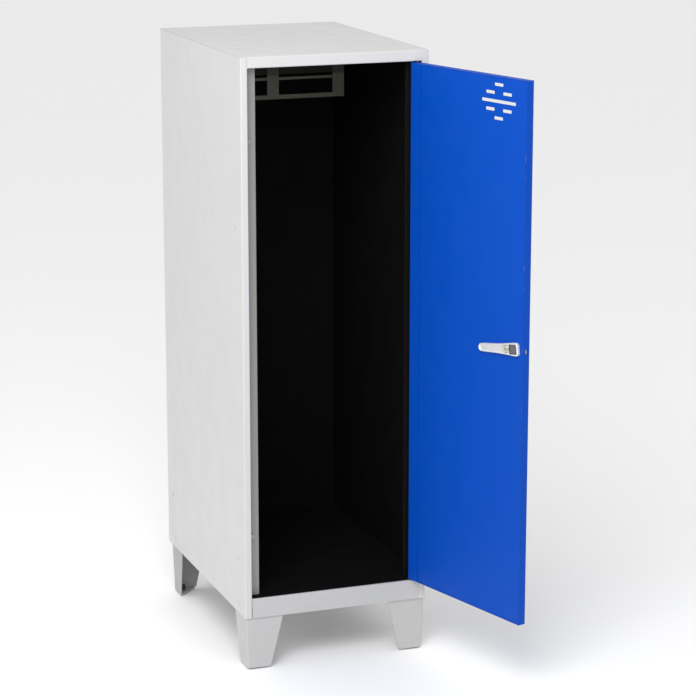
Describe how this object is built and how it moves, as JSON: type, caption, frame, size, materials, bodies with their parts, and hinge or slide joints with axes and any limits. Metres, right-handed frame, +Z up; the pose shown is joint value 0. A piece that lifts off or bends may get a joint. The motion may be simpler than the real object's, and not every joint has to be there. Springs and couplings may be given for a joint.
{
  "type": "locker cabinet",
  "caption": "Narrow free-standing steel locker with a vented hinged door, a lever latch with a sliding bolt, a slotted hanging rail inside and tapered sheet-steel legs.",
  "frame": {"origin": "bottom centre of the part's box, on the surface it stands on, with the door standing open", "axes": "+Z up, the longest extent; +X to the right seen from the front, the shortest extent; +Y from the front towards the back"},
  "size_m": [0.4264, 0.801, 1.12],
  "materials": {
    "grey_paint": "satin light grey powder coat",
    "blue_paint": "satin blue powder coat",
    "rail_paint": "dull dark grey paint",
    "zinc_steel": "zinc plated",
    "dark_steel": "oiled steel",
    "cast_metal": "satin die-cast metal",
    "nylon": "moulded nylon",
    "rubber": "soft grey rubber"
  },
  "bodies": {
    "cabinet": {"side_panel_left": "grey_paint", "side_panel_right": "grey_paint", "top_panel": "grey_paint", "base_panel": "grey_paint", "back_panel": "grey_paint", "side_rivet_upper_front_left": "grey_paint", "side_rivet_upper_rear_left": "grey_paint", "side_rivet_lower_front_left": "grey_paint", "side_rivet_lower_rear_left": "grey_paint", "side_rivet_upper_front_right": "grey_paint", "side_rivet_upper_rear_right": "grey_paint", "side_rivet_lower_front_right": "grey_paint", "side_rivet_lower_rear_right": "grey_paint", "leg_front_left": "grey_paint", "leg_front_right": "grey_paint", "leg_rear_left": "grey_paint", "leg_rear_right": "grey_paint", "foot_plate_front_left": "grey_paint", "foot_plate_front_right": "grey_paint", "foot_plate_rear_left": "grey_paint", "foot_plate_rear_right": "grey_paint", "foot_glide_front_left": "nylon", "foot_glide_front_right": "nylon", "foot_glide_rear_left": "nylon", "foot_glide_rear_right": "nylon", "leg_bolt_front_left": "grey_paint", "leg_bolt_front_right": "grey_paint", "leg_bolt_rear_left": "grey_paint", "leg_bolt_rear_right": "grey_paint", "rail_bracket": "rail_paint", "hanger_rail": "rail_paint", "rail_screw_left": "zinc_steel", "rail_screw_centre": "zinc_steel", "rail_screw_right": "zinc_steel", "hinge_pin_upper": "zinc_steel", "hinge_pin_lower": "zinc_steel", "door_buffer_upper": "rubber", "door_buffer_lower": "rubber"},
    "door": {"door_tray": "blue_paint", "door_inner_skin": "blue_paint", "hinge_bush_upper": "nylon", "hinge_bush_lower": "nylon", "latch_case": "zinc_steel"},
    "latch_lever": {"latch_lever_inner": "cast_metal", "latch_lever_outer": "cast_metal", "lever_cap_inner": "cast_metal", "lever_cap_outer": "cast_metal", "latch_spindle": "dark_steel", "latch_crank": "dark_steel"},
    "latch_bolt": {"latch_bolt": "zinc_steel"}
  },
  "joints": [
    {"name": "door_hinge", "type": "hinge", "parent": "cabinet", "child": "door", "pos_m": [0.11807, -0.09501, 0.6185], "axis": [0, 0, 1], "range_deg": [-106, 6]},
    {"name": "latch_turn", "type": "hinge", "parent": "door", "child": "latch_lever", "pos_m": [0.19801, -0.35744, 0.6315], "axis": [-0.9613, -0.2756, 0], "range_deg": [0, 82]},
    {"name": "bolt_slide", "type": "slide", "parent": "door", "child": "latch_bolt", "axis": [0.2756, -0.9613, 0], "range_m": [0, 0.0121]}
  ],
  "couplings": [
    {"joint": "bolt_slide", "follows": "latch_turn", "m_per_rad": 0.0083847}
  ]
}
